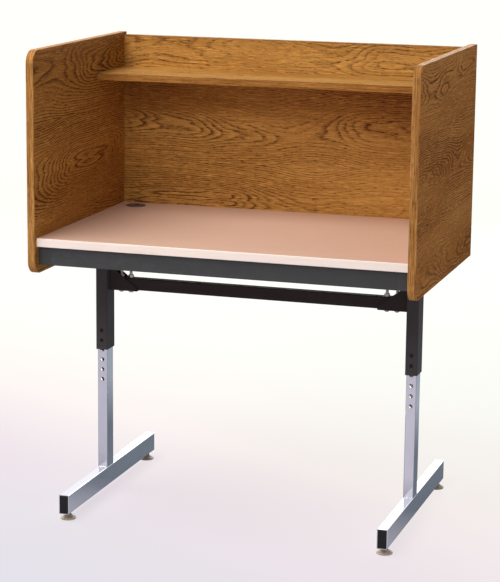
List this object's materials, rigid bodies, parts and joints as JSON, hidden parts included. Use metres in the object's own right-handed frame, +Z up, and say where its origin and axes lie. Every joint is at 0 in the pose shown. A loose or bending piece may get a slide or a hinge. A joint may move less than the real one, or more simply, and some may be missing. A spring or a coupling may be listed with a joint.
{
  "type": "study carrel",
  "caption": "Study carrel: worktop and shelf between oak-laminate side panels and a back panel, on height-adjustable chromed legs with levelling glides.",
  "frame": {"origin": "on the floor under the middle of the overall footprint (side panels' front edges to the foot tubes' rear ends)", "axes": "+Z up, +X to the sitter's right, +Y towards the back panel; the sitter is at -Y"},
  "size_m": [0.9398, 0.641, 1.1445],
  "materials": {
    "oak_laminate": "oak-pattern laminate, low sheen",
    "oak_edge_band": "oak-pattern edge band, low sheen",
    "particle_board": "raw particle board",
    "top_laminate": "beige high-pressure laminate, fine texture",
    "top_edge_band": "cream edge band",
    "charcoal_powder_coat": "satin powder coat",
    "black_powder_coat": "satin powder coat",
    "zinc_plated_steel": "zinc plated",
    "black_oxide_steel": "black oxide",
    "dark_steel": "dark plated",
    "chrome_plate": "bright chrome plate",
    "black_plastic": "moulded black plastic",
    "nylon": "natural nylon",
    "tan_nylon": "tan nylon",
    "beech": "beech"
  },
  "bodies": {
    "carrel": {"apron_corner_front_left": "charcoal_powder_coat", "apron_corner_front_right": "charcoal_powder_coat", "apron_corner_rear_left": "charcoal_powder_coat", "apron_corner_rear_right": "charcoal_powder_coat", "apron_front_rail": "charcoal_powder_coat", "apron_left_rail": "charcoal_powder_coat", "apron_rear_rail": "charcoal_powder_coat", "apron_right_rail": "charcoal_powder_coat", "back_panel": "oak_laminate", "back_panel_top_band": "oak_edge_band", "cam_bolts": "zinc_plated_steel", "cam_discs": "zinc_plated_steel", "crossbar": "black_powder_coat", "crossbar_bolts": "zinc_plated_steel", "crossbar_nuts": "zinc_plated_steel", "dowels": "beech", "grommet_liner": "black_plastic", "left_gusset_bracket": "black_powder_coat", "left_leg_plate": "black_powder_coat", "left_leg_sleeve": "black_powder_coat", "left_panel_edge_band": "oak_edge_band", "left_side_panel": "oak_laminate", "left_sleeve_bushing": "nylon", "lock_screws": "black_oxide_steel", "panel_bolts": "zinc_plated_steel", "panel_inserts": "zinc_plated_steel", "right_gusset_bracket": "black_powder_coat", "right_leg_plate": "black_powder_coat", "right_leg_sleeve": "black_powder_coat", "right_panel_edge_band": "oak_edge_band", "right_side_panel": "oak_laminate", "right_sleeve_bushing": "nylon", "shelf": "oak_laminate", "shelf_edge_band": "oak_edge_band", "worktop_core": "particle_board", "worktop_edge_band": "top_edge_band", "worktop_laminate": "top_laminate", "worktop_screws": "zinc_plated_steel"},
    "left_leg": {"left_inner_leg": "chrome_plate", "left_leg_guide": "nylon", "left_foot_tube": "chrome_plate", "left_glide_nuts": "zinc_plated_steel", "left_foot_cap_front": "black_plastic", "left_foot_cap_rear": "black_plastic"},
    "right_leg": {"right_inner_leg": "chrome_plate", "right_leg_guide": "nylon", "right_foot_tube": "chrome_plate", "right_glide_nuts": "zinc_plated_steel", "right_foot_cap_front": "black_plastic", "right_foot_cap_rear": "black_plastic"},
    "glide_front_left": {"glide_stem_front_left": "dark_steel", "glide_base_front_left": "tan_nylon"},
    "glide_rear_left": {"glide_stem_rear_left": "dark_steel", "glide_base_rear_left": "tan_nylon"},
    "glide_front_right": {"glide_stem_front_right": "dark_steel", "glide_base_front_right": "tan_nylon"},
    "glide_rear_right": {"glide_stem_rear_right": "dark_steel", "glide_base_rear_right": "tan_nylon"},
    "grommet_cap": {"grommet_cap": "black_plastic"}
  },
  "joints": [
    {"name": "left_leg_height", "type": "slide", "parent": "carrel", "child": "left_leg", "axis": [0, 0, -1], "range_m": [-0.1016, 0.0762]},
    {"name": "right_leg_height", "type": "slide", "parent": "carrel", "child": "right_leg", "axis": [0, 0, -1], "range_m": [-0.1016, 0.0762]},
    {"name": "glide_front_left_level", "type": "slide", "parent": "left_leg", "child": "glide_front_left", "axis": [0, 0, -1], "range_m": [-0.003, 0.012]},
    {"name": "glide_rear_left_level", "type": "slide", "parent": "left_leg", "child": "glide_rear_left", "axis": [0, 0, -1], "range_m": [-0.003, 0.012]},
    {"name": "glide_front_right_level", "type": "slide", "parent": "right_leg", "child": "glide_front_right", "axis": [0, 0, -1], "range_m": [-0.003, 0.012]},
    {"name": "glide_rear_right_level", "type": "slide", "parent": "right_leg", "child": "glide_rear_right", "axis": [0, 0, -1], "range_m": [-0.003, 0.012]},
    {"name": "grommet_cap_lift", "type": "slide", "parent": "carrel", "child": "grommet_cap", "axis": [0, 0, 1], "range_m": [0, 0.03]}
  ],
  "couplings": [
    {"joint": "right_leg_height", "follows": "left_leg_height", "ratio": 1}
  ]
}
